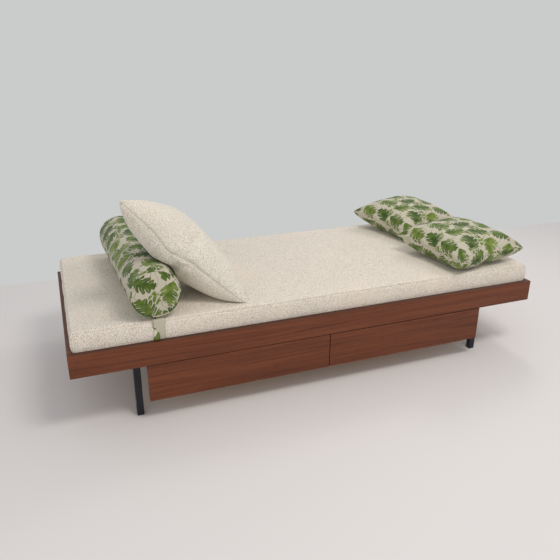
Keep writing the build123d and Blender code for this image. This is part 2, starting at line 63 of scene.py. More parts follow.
# ---- sizes: bolster
BOLSTER_TURN = math.radians(2.4)  # towards the end rail, at the back
BOLSTER_DOME = 0.012  # the room for its domed ends
BOLSTER_RISE = 0.8 * BOLSTER_DOME  # how far the uninflated ends already rise
BOLSTER_END_GAP = 0.002  # between its domed ends and the ends of its room
BOLSTER_GAP = 0.002  # between it and the cushion that leans on it
BOLSTER_SLACK = 0.004  # how much thinner it starts, before it is blown up
BOLSTER_SWELL = 0.006  # the most that blowing up may move its cloth
BOLSTER_PRESSURE, BOLSTER_FRAMES = 3.0, 16
BOLSTER_SEGMENTS = 96
BOLSTER_RINGS = 84
BOLSTER_CAP_RINGS = 12
BOLSTER_RIPPLE = (0.045, 0.0016)
RIM_DRAW = 0.0040  # how far its ends are drawn in at the piping
RIM_REACH = 0.022
PIPING_RADIUS = 0.0020

# ---- sizes: strap
STRAP_THICKNESS = 0.0015
STRAP_CLOTH = 0.8 * STRAP_THICKNESS
STRAP_CORNER = 0.009  # its inner radius round the mattress's edges
STRAP_CORNER_STEPS = 8
STRAP_ROW = 0.006
STRAP_COLUMNS = 8
STRAP_GAP = 0.0003  # between the mattress and the strap, and the strap and its stitches
STITCH_LENGTH = 0.0045
STITCH_PITCH = 0.0075
STITCH_RADIUS = 0.0007
STITCH_FROM_EDGE = 0.0035

# ---- sizes: cushions, as half sizes from seam to seam, then how far the crown rises and the
# underside falls
CUSHION_CELL = 0.0095
CUSHION_PRESSURE, CUSHION_FRAMES = 4.0, 22
CUSHION_GROWTH = 0.03  # how much too large its cloth is, as a share
SQUARE_SWELL, LONG_SWELL = 0.15, 0.1  # the share that is kept of the form it blows up to
PANEL_POWER, PANEL_ROUND = 2.6, 0.47  # how square and how full a panel's dome is
CREASE_DEPTH = 0.010  # the most that the blown-up cloth may stray from its form
CREASE_ROUNDS = 90  # of averaging, to part the creases from the new form
SEAM_VALLEY = 0.0034  # how far a cushion's seam is drawn in
SEAM_REACH = 0.0030
SEAM_LINE = 0.0020  # half the width of the painted shade line in it
SEAM_SHADE = 0.34  # how strongly that painted shade darkens the cloth
BORDER_SEAM_SHARE = 0.45  # the same painted shade for the mattress's seams, as a share
REST_GAP = 0.0006  # between a cushion and what it lies on
BOLSTER_REST_GAP = 0.0021
LONG_HALF = (0.302, 0.1915)
LONG_CROWN, LONG_UNDERSIDE = 0.099, 0.086
LONG_LEAN, LONG_ROLL = math.radians(45.5), math.radians(-1.7)
LONG_SHIFT = (-0.0047, -0.008, -0.009)
LONG_BOW, LONG_FOLD = 0.009, 0.023  # how far its middle sags, and its near side folds in
LONG_FOLD_PLACE, LONG_FOLD_REACH = 0.2, 0.20  # from its middle, as shares of its half length
LONG_HANG = (0.164, 0.127)  # how far its far upper corner comes forward and sinks
LONG_HANG_FROM = (-0.67, -1.16)  # where that begins, as shares of its half sizes
LONG_DRAW = 0.115  # how far the sides' middles are drawn in, as a share
SQUARE_DRAW = 0.05
PILLOWS = {  # half size, crown, underside; turn and rises along X and Y, in degrees; shift
    "front_pillow": ((0.193, 0.070, 0.074), (11, 0.7, 3.2), (-0.005, 0.006, -0.007)),
    "back_pillow": ((0.189, 0.070, 0.068), (15, 1.5, 5.9), (-0.002, 0.013, -0.012)),
}

# ---- sizes: the print, with a sprig's parts as shares of its cell
SPRIG_REPEAT = 0.093
SPRIG_HALF_WIDTH, SPRIG_HALF_LENGTH = 0.375, 0.49
SPRIG_BEND = 0.55
LEAFLET_PITCH, LEAFLET_SWEEP = 0.25, 0.75
SMALL_SPRIG = 0.68  # its repeat, as a share of the large one's
SMALL_SPRIG_SHIFT = (0.031, 0.043, 0.0)
BARE_CELLS = 0.30  # the share of cells without a small sprig
EDGE_WANDER = (0.006, 0.006, 0.0)
THREAD_PITCH = 0.0009

# ---- where on the printed cloth a part is cut
STRAP_PRINT_FROM = (0.5207, -0.7874)
FRONT_CAP_CUT, BACK_CAP_CUT = 1.02, 2.0
UNDERSIDE_CUT = 1.3

# ---- display colours, each pair from dark to light; the woods' third is their pores' and also the teak's painted shade on its upward faces
TEAK_COLOURS = ((77, 36, 18), (129, 70, 41), (46, 22, 12))
BEECH_COLOURS = ((188, 150, 112), (222, 192, 154), (150, 112, 80))
PLYWOOD_COLOURS = ((186, 150, 108), (226, 196, 154), (160, 122, 84))
LINENS = ((181, 174, 153), (206, 199, 179))
DEEP_GREENS = ((44, 68, 24), (80, 104, 38))
FRESH_GREENS = ((84, 106, 34), (130, 148, 60))
PIPING_GREENS = ((54, 80, 30), (80, 108, 42))
TENDRIL_COLOUR = (104, 92, 58)
# painted shade along the cloth's seams
SEAM_SHADE_COLOUR = (112, 102, 88)


# ---- shader trees
def display(red, green, blue):
    """A display colour, 0 to 255, as the linear colour that a shader takes."""
    shares = np.array((red, green, blue)) / 255
    linear = np.where(shares <= 0.04045, shares / 12.92, ((shares + 0.055) / 1.055) ** 2.4)
    return (*map(float, linear), 1.0)


class Tree:
    """A node tree under construction: a socket given as an input is linked, a value is set,
    and a colour is given as its three display values."""

    def __init__(self, node_tree):
        self.node_tree = node_tree

    def add(self, kind, inputs=None, **settings):
        node = self.node_tree.nodes.new(kind)
        for name, value in settings.items():
            setattr(node, name, value)
        for name, value in (inputs or {}).items():
            self.feed(node.inputs[name], value)
        return node

    def feed(self, socket, value):
        if isinstance(value, bpy.types.NodeSocket):
            self.node_tree.links.new(value, socket)
        else:
            socket.default_value = display(*value) if socket.type == "RGBA" else value

    def math(self, operation, *values, clamp=False):
        node = self.add("ShaderNodeMath", operation=operation, use_clamp=clamp)
        for socket, value in zip(node.inputs, values):
            self.feed(socket, value)
        return node.outputs[0]

    def plus(self, first, second, clamp=False):
        return self.math("ADD", first, second, clamp=clamp)

    def minus(self, first, second, clamp=False):
        return self.math("SUBTRACT", first, second, clamp=clamp)

    def times(self, first, second, clamp=False):
        return self.math("MULTIPLY", first, second, clamp=clamp)

    def over(self, first, second):
        return self.math("DIVIDE", first, second)

    def vector(self, operation, first, second):
        inputs = {0: first, 1: second}
        node = self.add("ShaderNodeVectorMath", inputs, operation=operation)
        return node.outputs["Vector"]

    def scaled(self, vector, scale):
        inputs = {0: vector, "Scale": scale}
        return self.add("ShaderNodeVectorMath", inputs, operation="SCALE").outputs["Vector"]

    def axes(self, vector):
        """A vector's components, by their letters."""
        return self.add("ShaderNodeSeparateXYZ", {"Vector": vector}).outputs

    def step(self, value, low, high, start=0.0, end=1.0):
        """A smooth step from start to end as the value goes from low to high."""
        inputs = {"Value": value, "From Min": low, "From Max": high, "To Min": start, "To Max": end}
        node = self.add("ShaderNodeMapRange", inputs, interpolation_type="SMOOTHSTEP")
        return node.outputs["Result"]

    def mix(self, share, first, second):
        node = self.add("ShaderNodeMix", data_type="RGBA")
        for index, value in ((0, share), (6, first), (7, second)):
            self.feed(node.inputs[index], value)
        return node.outputs[2]

    def noise(self, vector, scale, detail=2.0, roughness=0.5, output=0):
        inputs = {"Vector": vector, "Scale": scale, "Detail": detail, "Roughness": roughness}
        return self.add("ShaderNodeTexNoise", inputs).outputs[output]

    def place(self):
        """The shaded point, in the piece's own space."""
        return self.add("ShaderNodeTexCoord").outputs["Object"]

    def group(self, group, **inputs):
        node = self.add("ShaderNodeGroup", node_tree=group)
        for name, value in inputs.items():
            self.feed(node.inputs[name.replace("_", " ").capitalize()], value)
        return node.outputs

    def end(self, sockets, **values):
        """Feed the named sockets of a group's output or of a shader."""
        for name, value in values.items():
            self.feed(sockets[name.replace("_", " ")], value)


def new_group(name, inputs, outputs):
    """An empty node group with its sockets: (tree, input sockets, output sockets)."""
    group = bpy.data.node_groups.new(name, "ShaderNodeTree")
    for label, value in {"Vector": None, **inputs}.items():
        kind = "NodeSocketVector" if value is None else "NodeSocketFloat"
        socket = group.interface.new_socket(label, in_out="INPUT", socket_type=kind)
        if value is not None:
            socket.default_value = value
    for label in outputs:
        group.interface.new_socket(label, in_out="OUTPUT", socket_type="NodeSocketFloat")
    tree = Tree(group)
    return tree, tree.add("NodeGroupInput").outputs, tree.add("NodeGroupOutput").inputs


def wood_grain_group():
    """Grain along local X: a slow figure, fine streaks and short open pores."""
    tree, given, out = new_group(
        "wood_grain", {"Figure": 1.0, "Streaks": 1.0}, ("Tone", "Pores", "Height")
    )
    slow = tree.vector("MULTIPLY", given["Vector"], (1.1, 3.0, 3.0))
    drift = tree.noise(slow, 1.0, 1.0, output="Color")
    drift = tree.vector("MULTIPLY", drift, (0.0, 0.03, 0.03))
    flow = tree.vector("ADD", given["Vector"], drift)
    figure = tree.noise(tree.vector("MULTIPLY", flow, (0.7, 22.0, 22.0)), 1.0, 2.0)
    streaks = tree.noise(tree.vector("MULTIPLY", flow, (2.2, 130.0, 130.0)), 1.0, 5.0, 0.62)
    pores = tree.noise(tree.vector("MULTIPLY", flow, (28.0, 1500.0, 1500.0)), 1.0, 1.0)
    figure_share = tree.times(tree.minus(figure, 0.5), given["Figure"])
    streak_share = tree.times(tree.minus(streaks, 0.5), given["Streaks"])
    tone = tree.plus(tree.plus(figure_share, streak_share), 0.5, clamp=True)
    pore_mask = tree.step(pores, 0.60, 0.70)
    tree.end(out, Tone=tone, Pores=pore_mask, Height=tree.minus(streaks, pore_mask))
    return tree.node_tree


def looped_yarn_group():
    """Boucle: a crust of small curled loops with darker gaps between them."""
    tree, given, out = new_group(
        "looped_yarn", {"Loop size": 0.004}, ("Crowns", "Height", "Patches")
    )
    scale = tree.over(1.0, given["Loop size"])
    wander = tree.noise(given["Vector"], tree.times(scale, 0.6), 2.0, output="Color")
    push = tree.scaled(wander, tree.times(given["Loop size"], 1.6))
    place = tree.vector("ADD", given["Vector"], push)
    loops = tree.add("ShaderNodeTexVoronoi", {"Vector": place, "Scale": scale})
    curls = tree.noise(place, tree.times(scale, 1.3), 3.0, 0.7)
    crown = tree.step(loops.outputs["Distance"], 0.75, 0.15)
    height = tree.plus(tree.times(crown, 0.6), tree.times(curls, 0.8))
    patches = tree.noise(given["Vector"], 3.2, 2.0)
    tree.end(out, Crowns=tree.step(height, 0.30, 0.85), Height=height, Patches=patches)
    return tree.node_tree


def plain_weave_group():
    """Linen-like plain weave on cloth coordinates, with slubs in both directions."""
    tree, given, out = new_group("plain_weave", {"Thread": THREAD_PITCH}, ("Slubs", "Height"))
    turns = tree.over(math.pi, given["Thread"])
    axes = tree.axes(given["Vector"])
    warp, weft = (tree.math("SINE", tree.times(axes[axis], turns)) for axis in "XY")
    along = tree.noise(tree.vector("MULTIPLY", given["Vector"], (60.0, 700.0, 1.0)), 1.0)
    across = tree.noise(tree.vector("MULTIPLY", given["Vector"], (700.0, 60.0, 1.0)), 1.0)
    slubs = tree.times(tree.plus(along, across), 0.5)
    tree.end(out, Slubs=slubs, Height=tree.times(warp, weft))
    return tree.node_tree


def sprig_cell(tree, given):
    """Where a point lies in its cell of a half-drop repeat: (place, row and column key)."""
    axes = tree.axes(tree.scaled(given["Vector"], tree.over(1.0, given["Cell"])))
    column = tree.math("FLOOR", axes["X"])
    drop = tree.times(tree.math("PINGPONG", column, 1.0), 0.5)
    dropped = tree.plus(axes["Y"], drop)
    row = tree.math("FLOOR", dropped)
    key = tree.add("ShaderNodeCombineXYZ", {"X": column, "Y": row, "Z": given["Seed"]})
    place = tree.add("ShaderNodeCombineXYZ", {
        "X": tree.minus(tree.minus(axes["X"], column), 0.5),
        "Y": tree.minus(tree.minus(dropped, row), 0.5),
    })
    return place.outputs[0], key.outputs[0]


def sprig_group():
    """One feathered sprig in each cell of a half-drop repeat, each turned its own way."""
    tree, given, out = new_group("sprig", {"Cell": 0.08, "Seed": 0.0}, ("Leaf", "Halo", "Shade"))
    local, key = sprig_cell(tree, given)
    chance = tree.add("ShaderNodeTexWhiteNoise", {"Vector": key}, noise_dimensions="3D")
    turn = {"Vector": local, "Angle": tree.times(chance.outputs["Value"], 2 * math.pi)}
    turned = tree.add("ShaderNodeVectorRotate", turn, rotation_type="Z_AXIS")
    place = tree.axes(turned.outputs[0])
    along = place["Y"]
    bend = tree.times(tree.times(along, along), SPRIG_BEND)
    side = tree.math("ABSOLUTE", tree.plus(place["X"], tree.minus(bend, 0.03)))
    reach_across = tree.math("POWER", tree.over(side, SPRIG_HALF_WIDTH), 2.0)
    reach_along = tree.math("POWER", tree.over(along, SPRIG_HALF_LENGTH), 2.0)
    left_over = tree.minus(1.0, tree.plus(reach_across, reach_along))
    fullness = tree.math("SQRT", tree.times(left_over, 2.2, clamp=True))
    sweep = tree.minus(along, tree.times(side, LEAFLET_SWEEP))
    pitch = tree.minus(tree.math("FRACT", tree.over(sweep, LEAFLET_PITCH)), 0.5)
    spread = tree.math("ABSOLUTE", pitch)
    width = tree.times(fullness, tree.step(side, 0.05, 0.20, 0.60, 0.42))
    leaflet = tree.minus(width, spread)
    on_stem = tree.step(side, 0.026, 0.014)
    stem = tree.times(on_stem, tree.step(tree.math("ABSOLUTE", along), 0.50, 0.46))
    vein = tree.times(tree.step(spread, 0.030, 0.015), tree.step(side, 0.07, 0.11))
    vein = tree.times(vein, tree.step(fullness, 0.55, 0.75))
    leaf = tree.minus(tree.step(leaflet, -0.02, 0.03), tree.times(vein, 0.8), clamp=True)
    halo = tree.step(leaflet, -0.17, -0.13)
    shades = tree.add("ShaderNodeSeparateColor", {"Color": chance.outputs["Color"]})
    tree.end(out, Leaf=tree.math("MAXIMUM", leaf, stem), Halo=tree.math("MAXIMUM", halo, stem),
             Shade=shades.outputs[1])
    return tree.node_tree


def foliage_group(sprig):
    """Large sprigs before smaller ones and thin tendrils, with hand-printed wandering edges."""
    inputs = {"Repeat": SPRIG_REPEAT, "Undergrowth": 1.0}
    tree, given, out = new_group("foliage", inputs, ("Leaf", "Shade", "Tendril"))
    wander = tree.noise(given["Vector"], 95.0, 2.0, output="Color")
    push = tree.vector("SUBTRACT", wander, (0.5, 0.5, 0.5))
    place = tree.vector("ADD", given["Vector"], tree.vector("MULTIPLY", push, EDGE_WANDER))
    front = tree.group(sprig, vector=place, cell=given["Repeat"], seed=3.0)
    moved = tree.vector("ADD", place, SMALL_SPRIG_SHIFT)
    small = tree.times(given["Repeat"], SMALL_SPRIG)
    behind = tree.group(sprig, vector=moved, cell=small, seed=11.0)
    gaps = tree.minus(1.0, front["Halo"])
    grown = tree.step(behind["Shade"], BARE_CELLS, BARE_CELLS + 0.01)
    some = tree.times(grown, given["Undergrowth"])
    back_leaf = tree.times(tree.times(behind["Leaf"], gaps), some)
    leaf = tree.math("MAXIMUM", front["Leaf"], back_leaf)
    front_shade = tree.times(front["Shade"], front["Leaf"])
    back_shade = tree.times(behind["Shade"], back_leaf)
    off_line = tree.math("ABSOLUTE", tree.minus(tree.noise(given["Vector"], 17.0, 1.0), 0.5))
    tendril = tree.times(tree.step(off_line, 0.008, 0.003), tree.minus(1.0, leaf))
    shade = tree.plus(front_shade, back_shade, clamp=True)
    tree.end(out, Leaf=leaf, Shade=shade, Tendril=tendril)
    return tree.node_tree


GRAIN = wood_grain_group()
YARN = looped_yarn_group()
WEAVE = plain_weave_group()
FOLIAGE = foliage_group(sprig_group())


# ---- materials
def new_material(name, **constants):
    """A material with its Principled shader's plain values set: (material, tree, shader)."""
    material = bpy.data.materials.new(name)
    material.use_nodes = True
    shader = material.node_tree.nodes["Principled BSDF"]
    tree = Tree(material.node_tree)
    tree.end(shader.inputs, **constants)
    return material, tree, shader


def finish(tree, shader, colour, height, strength, depth, **inputs):
    """Feed the shader its colour, its relief and any other input."""
    relief = {"Height": height, "Strength": strength, "Distance": depth}
    normal = tree.add("ShaderNodeBump", relief).outputs["Normal"]
    tree.end(shader.inputs, Base_Color=colour, Normal=normal, **inputs)


GRAIN_TURNS = {
    "x": (0.0, 0.0, 0.0),
    "y": (0.0, 0.0, math.radians(90)),
    "z": (0.0, math.radians(90), 0.0),
}


def wood(name, grain, colours, figure, streaks, roughness, painted_top_shade=0.0):
    """Solid or veneered wood with its grain along the given axis; painted shade darkens its upward
    faces towards the pore colour.
    """
    dark, light, pore = colours
    material, tree, shader = new_material(name, Specular_IOR_Level=0.3)
    turn = {"Vector": tree.place(), "Rotation": GRAIN_TURNS[grain]}
    turned = tree.add("ShaderNodeMapping", turn).outputs[0]
    marks = tree.group(GRAIN, vector=turned, figure=figure, streaks=streaks)
    colour = tree.mix(marks["Tone"], dark, light)
    colour = tree.mix(tree.times(marks["Pores"], 0.55), colour, pore)
    # painted shade: upward faces are darkened, for the shade under the mattress's overhang
    upward = tree.axes(tree.add("ShaderNodeNewGeometry").outputs["Normal"])["Z"]
    colour = tree.mix(tree.step(upward, 0.35, 0.75, 0.0, painted_top_shade), colour, pore)
    rough = tree.step(marks["Tone"], 0.0, 1.0, roughness + 0.06, roughness - 0.05)
    finish(tree, shader, colour, marks["Height"], 0.18, 0.0004, Roughness=rough)
    return material


def mottled(name, scale, detail, colours, relief, roughness=None, relief_scale=None, **constants):
    """An even finish, its colour, roughness and relief varied by a fine noise."""
    material, tree, shader = new_material(name, **constants)
    place = tree.place()
    cloud = tree.noise(place, scale, detail)
    height = tree.noise(place, relief_scale) if relief_scale else cloud
    varied = {"Roughness": tree.step(cloud, 0.3, 0.7, *roughness)} if roughness else {}
    finish(tree, shader, tree.mix(cloud, *colours), height, *relief, **varied)
    return material


def boucle(name, loop_size, gap, crown, warm, depth):
    """Off-white looped yarn: painted shade in the gaps, painted light on the crowns, and slow warm
    and cool patches.
    """
    material, tree, shader = new_material(
        name, Roughness=0.95, Sheen_Weight=0.25, Sheen_Roughness=0.6, Specular_IOR_Level=0.15
    )
    yarn = tree.group(YARN, vector=tree.place(), loop_size=loop_size)
    colour = tree.mix(yarn["Crowns"], gap, crown)
    colour = tree.mix(tree.step(yarn["Patches"], 0.45, 0.75, 0.0, 0.35), colour, warm)
    # painted shade along the seams, from the near_seam attribute
    seam = tree.add("ShaderNodeAttribute", attribute_name="near_seam").outputs["Fac"]
    colour = tree.mix(tree.times(seam, SEAM_SHADE), colour, SEAM_SHADE_COLOUR)
    finish(tree, shader, colour, yarn["Height"], 0.9, depth)
    return material


def leaf_print(name, undergrowth):
    """Foliage in greens on natural linen, printed on the cloth's own coordinates."""
    material, tree, shader = new_material(
        name, Roughness=0.85, Sheen_Weight=0.12, Specular_IOR_Level=0.25
    )
    cloth = tree.add("ShaderNodeUVMap", uv_map="cloth").outputs["UV"]
    weave = tree.group(WEAVE, vector=cloth)
    marks = tree.group(FOLIAGE, vector=cloth, undergrowth=undergrowth)
    ground = tree.mix(weave["Slubs"], *LINENS)
    ground = tree.mix(tree.times(marks["Tendril"], 0.8), ground, TENDRIL_COLOUR)
    blotches = tree.step(tree.noise(cloth, 34.0, 3.0), 0.30, 0.70)
    deep, fresh = (tree.mix(blotches, *greens) for greens in (DEEP_GREENS, FRESH_GREENS))
    green = tree.mix(marks["Shade"], deep, fresh)
    colour = tree.mix(marks["Leaf"], ground, green)
    finish(tree, shader, colour, weave["Height"], 0.25, 0.0003)
    return material


def bias_piping():
    """Narrow bias strips of the print: linen with scraps of leaf."""
    material, tree, shader = new_material("bias_piping", Roughness=0.88)
    place = tree.place()
    threads = tree.noise(place, 900.0, 2.0)
    scraps = tree.step(tree.noise(place, 34.0, 2.0), 0.46, 0.50)
    ground, green = (tree.mix(threads, *pair) for pair in (LINENS, PIPING_GREENS))
    finish(tree, shader, tree.mix(scraps, ground, green), threads, 0.3, 0.0003)
    return material


# the woods' figure, streaks and roughness, and how strongly painted shade darkens the teak's upward
# faces
TEAK = {axis: wood(f"teak_grain_{axis}", axis, TEAK_COLOURS, 0.7, 1.7, 0.36, top_shade)
        for axis, top_shade in (("x", 0.65), ("y", 0.12))}
BEECH = {axis: wood(f"beech_grain_{axis}", axis, BEECH_COLOURS, 0.8, 0.8, 0.6) for axis in "xyz"}
PLYWOOD = wood("plywood", "x", PLYWOOD_COLOURS, 1.6, 0.6, 0.65)

LACQUER = mottled("black_lacquer", 18.0, 3.0, ((14, 17, 26), (22, 26, 37)), (0.12, 0.0002),
                  (0.38, 0.52), 900.0, Coat_Weight=0.1, Coat_Roughness=0.3,
                  Specular_IOR_Level=0.36)
GLIDE = mottled("glide_plastic", 1400.0, 2.0, ((24, 24, 25), (40, 40, 41)), (0.2, 0.0002),
                (0.55, 0.7))
ZINC = mottled("zinc_steel", 260.0, 3.0, ((168, 168, 164), (208, 207, 200)), (0.1, 0.0002),
               (0.28, 0.42), Metallic=1.0)
THREAD = mottled("dark_thread", 2500.0, 2.0, ((28, 30, 26), (66, 68, 58)), (0.3, 0.0002),
                 Roughness=0.8)
# each boucle's gap colour is painted shade and its crown colour painted light
BOUCLE_MATTRESS = boucle("boucle_mattress", 0.0031, (193, 181, 164), (254, 244, 229),
                         (247, 227, 207), 0.0015)
BOUCLE_CUSHION = boucle("boucle_cushion", 0.0030, (192, 183, 168), (244, 236, 221),
                        (237, 226, 208), 0.0011)
PRINT = leaf_print("leaf_print", 1.0)
SPARSE_PRINT = leaf_print("sparse_leaf_print", 0.0)
PIPING = bias_piping()

FINISHES = (  # by how a node's name ends; all others are beech along X
    (("front_rail", "back_rail", "drawer_front"), TEAK["x"]),
    (("end_rail", "housing_side"), TEAK["y"]),
    (("_bottom", "divider", "back_panel"), PLYWOOD),
    (("_leg", "cross_tube"), LACQUER),
    (("_glide",), GLIDE),
    (("leg_bolts", "wood_screws"), ZINC),
    (("corner_block",), BEECH["z"]),
    (("slats", "bearer", "_side", "runner", "dowels"), BEECH["y"]),
)


def dress_frame():
    """Give every CAD node that stays in view its finish."""
    for name, node in NODES.items():
        fitting = (material for ends, material in FINISHES if name.endswith(ends))
        node.data.materials.clear()
        node.data.materials.append(next(fitting, BEECH["x"]))


# ---- mesh helpers
def new_piece(name, points, faces, material, cloth=None):
    """A mesh piece at the origin. cloth gives a cloth coordinate for each face corner."""
    mesh = bpy.data.meshes.new(name)
    mesh.from_pydata([tuple(p) for p in points], [], faces)
    mesh.polygons.foreach_set("use_smooth", [True] * len(faces))
    if cloth is not None:
        layer = mesh.uv_layers.new(name="cloth")
        flat = np.array([corner for face in cloth for corner in face], np.float32)
        layer.data.foreach_set("uv", flat.ravel())
    mesh.materials.append(material)
    mesh.validate()
    piece = bpy.data.objects.new(name, mesh)
    bpy.context.scene.collection.objects.link(piece)
    return piece


def read_points(mesh):
    points = np.empty(len(mesh.vertices) * 3)
    mesh.vertices.foreach_get("co", points)
    return points.reshape(-1, 3)


def write_points(mesh, points):
    mesh.vertices.foreach_set("co", np.asarray(points, np.float32).ravel())
    mesh.update()


def bake_modifiers(piece):
    """Replace the piece's mesh with what its modifiers make, and remove them."""
    evaluated = piece.evaluated_get(bpy.context.evaluated_depsgraph_get())
    made = bpy.data.meshes.new_from_object(evaluated)
    made.name = piece.name
    piece.modifiers.clear()
    piece.data = made


def subdivide(piece):
    modifier = piece.modifiers.new("smooth", "SUBSURF")
    modifier.levels = modifier.render_levels = 1
    modifier.uv_smooth = "PRESERVE_CORNERS"
    bake_modifiers(piece)
    piece.data.polygons.foreach_set("use_smooth", [True] * len(piece.data.polygons))


def inflate(piece, pressure, frames, growth=0.0):
    """Blow the sewn cover up as cloth, without gravity, and keep the shape."""
    cloth = piece.modifiers.new("inflation", "CLOTH")
    cloth.settings.quality = 7
    cloth.settings.mass = 0.3
    cloth.settings.bending_stiffness = 0.5
    cloth.settings.use_pressure = True
    cloth.settings.uniform_pressure_force = pressure
    cloth.settings.effector_weights.gravity = 0.0
    cloth.settings.shrink_min = -growth
    cloth.collision_settings.use_collision = False
    cloth.point_cache.frame_start = 1
    cloth.point_cache.frame_end = frames
    for number in range(1, frames + 1):
        bpy.context.scene.frame_set(number)
    bake_modifiers(piece)
    bpy.context.scene.frame_set(1)


def arc(centre_x, centre_y, radius, start, steps, in_quarter):
    """Points round a centre from a start angle in degrees, so many steps to the quarter turn."""
    angles = [math.radians(start + 90 * step / in_quarter) for step in steps]
    return [(centre_x + radius * math.cos(a), centre_y + radius * math.sin(a)) for a in angles]


def smooth_step(values, low, high):
    share = np.clip((values - low) / (high - low), 0.0, 1.0)
    return share * share * (3 - 2 * share)


def ripple(points, size, depth, seed):
    """Slow uneven swells, one height for each point."""
    offset = Vector((seed * 7.3, seed * 3.1, seed * 5.7))
    return np.array([noise.noise(Vector(p) / size + offset) for p in points]) * depth


def lengths(vectors):
    return np.linalg.norm(vectors, axis=1, keepdims=True)


def limited(moves, most):
    """Moves in the same directions, none longer than the most allowed."""
    return moves * np.minimum(1.0, most / np.maximum(lengths(moves), TINY))


def travelled(path):
    """The way along a path to each of its points."""
    return np.concatenate(([0.0], np.cumsum(lengths(np.diff(path, axis=0)))))


def soft_floor(heights, floor_height, soft=0.004):
    """Heights held above a floor, easing onto it over a short range."""
    above = heights - floor_height
    eased = soft * np.log1p(np.exp(np.clip(above / soft, -30, 30)))
    return floor_height + np.where(above > 8 * soft, above, eased)


def mark_seams(mesh, from_seam, share=1.0):
    """Store how near each point lies to a seam, from 0 to 1, for the painted shade along the seams
    in the cloth's material.
    """
    nearness = mesh.attributes.new("near_seam", "FLOAT", "POINT")
    near = share * np.exp(-((from_seam / SEAM_LINE) ** 2))
    nearness.data.foreach_set("value", near.astype(np.float32))


def finish_soft(piece, shape, slot, fill, *nodes):
    """Give a padded piece its last shape, hang it from the root and hide the CAD nodes that it
    stands for.
    """
    write_points(piece.data, shape)
    subdivide(piece)
    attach(piece, "root")
    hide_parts(*nodes)


# ---- Geometry Nodes
class Geometry(Tree):
    """A Geometry Nodes tree with named inputs."""

    def __init__(self, name, **inputs):
        group = bpy.data.node_groups.new(name, "GeometryNodeTree")
        for label, kind in {"Geometry": "Geometry", **inputs, "Material": "Material"}.items():
            group.interface.new_socket(label, in_out="INPUT", socket_type=f"NodeSocket{kind}")
        group.interface.new_socket(
            "Geometry", in_out="OUTPUT", socket_type="NodeSocketGeometry"
        )
        super().__init__(group)
        self.given = self.add("NodeGroupInput").outputs
        self.result = self.add("NodeGroupOutput").inputs["Geometry"]

    def node(self, kind, inputs, **settings):
        """The outputs of a new Geometry Nodes node."""
        return self.add(f"GeometryNode{kind}", inputs, **settings).outputs

    def done(self, geometry):
        """Make the geometry real, smooth and dressed, and give it out."""
        real = self.node("RealizeInstances", {"Geometry": geometry})[0]
        smooth = self.node("SetShadeSmooth", {"Geometry": real})[0]
        dress = {"Geometry": smooth, "Material": self.given["Material"]}
        self.feed(self.result, self.node("SetMaterial", dress)[0])
        return self.node_tree


def tube_tree():
    """A tube of one radius along a mesh line."""
    tree = Geometry("tube", Radius="Float", Steps="Int")
    line = tree.node("MeshToCurve", {"Mesh": tree.given["Geometry"]})[0]
    circle = {"Radius": tree.given["Radius"], "Resolution": tree.given["Steps"]}
    section = tree.node("CurvePrimitiveCircle", circle)[0]
    return tree.done(tree.node("CurveToMesh", {"Curve": line, "Profile Curve": section})[0])


def stitch_tree():
    """Short thread stitches at an even pitch along a mesh line."""
    tree = Geometry("stitches", Pitch="Float", Length="Float", Radius="Float")
    line = tree.node("MeshToCurve", {"Mesh": tree.given["Geometry"]})[0]
    at_pitch = {"Curve": line, "Length": tree.given["Pitch"]}
    spots = tree.node("CurveToPoints", at_pitch, mode="LENGTH")
    stitch = tree.node("MeshCylinder", {
        "Vertices": 6, "Side Segments": 3,
        "Radius": tree.given["Radius"], "Depth": tree.given["Length"],
    })
    return tree.done(tree.node("InstanceOnPoints", {
        "Points": spots["Points"], "Instance": stitch["Mesh"], "Rotation": spots["Rotation"],
    })[0])


TUBE_TREE = tube_tree()
STITCH_TREE = stitch_tree()


def trim(name, points, tree, inputs, closed=False):
    """A plain mesh piece, grown by a Geometry Nodes tree from a line through the points."""
    mesh = bpy.data.meshes.new(name)
    edges = [(n, n + 1) for n in range(len(points) - 1)]
    if closed:
        edges.append((len(points) - 1, 0))
    mesh.from_pydata([tuple(p) for p in points], edges, [])
    piece = bpy.data.objects.new(name, mesh)
    bpy.context.scene.collection.objects.link(piece)
    modifier = piece.modifiers.new(name, "NODES")
    modifier.node_group = tree
    sockets = {item.name: item for item in tree.interface.items_tree if item.in_out == "INPUT"}
    for label, value in inputs.items():
        modifier[sockets[label].identifier] = value
    bake_modifiers(piece)
    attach(piece, "root")


# ---- mattress
def mattress_profile(thickness):
    """(inset, height) from the bottom panel's edge, up the border, to the top panel's edge."""
    upper = thickness - BORDER_SEAM_DROP
    lower = BORDER_SEAM_DROP
    return (
        (0.030, 0.0), (0.014, 0.0006), (0.006, 0.0035),
        (0.0025, lower - 0.0035), (BORDER_SEAM_DEPTH, lower), (0.0008, lower + 0.0035),
        (0.0, lower + 0.012), (-BORDER_BULGE, thickness * 0.40),
        (-BORDER_BULGE, thickness * 0.62), (0.0, upper - 0.012),
        (0.0008, upper - 0.0035), (BORDER_SEAM_DEPTH, upper), (0.0026, upper + 0.0032),
        (0.0050, thickness - 0.0034), (0.0125, thickness - 0.0008), (0.030, thickness),
    )


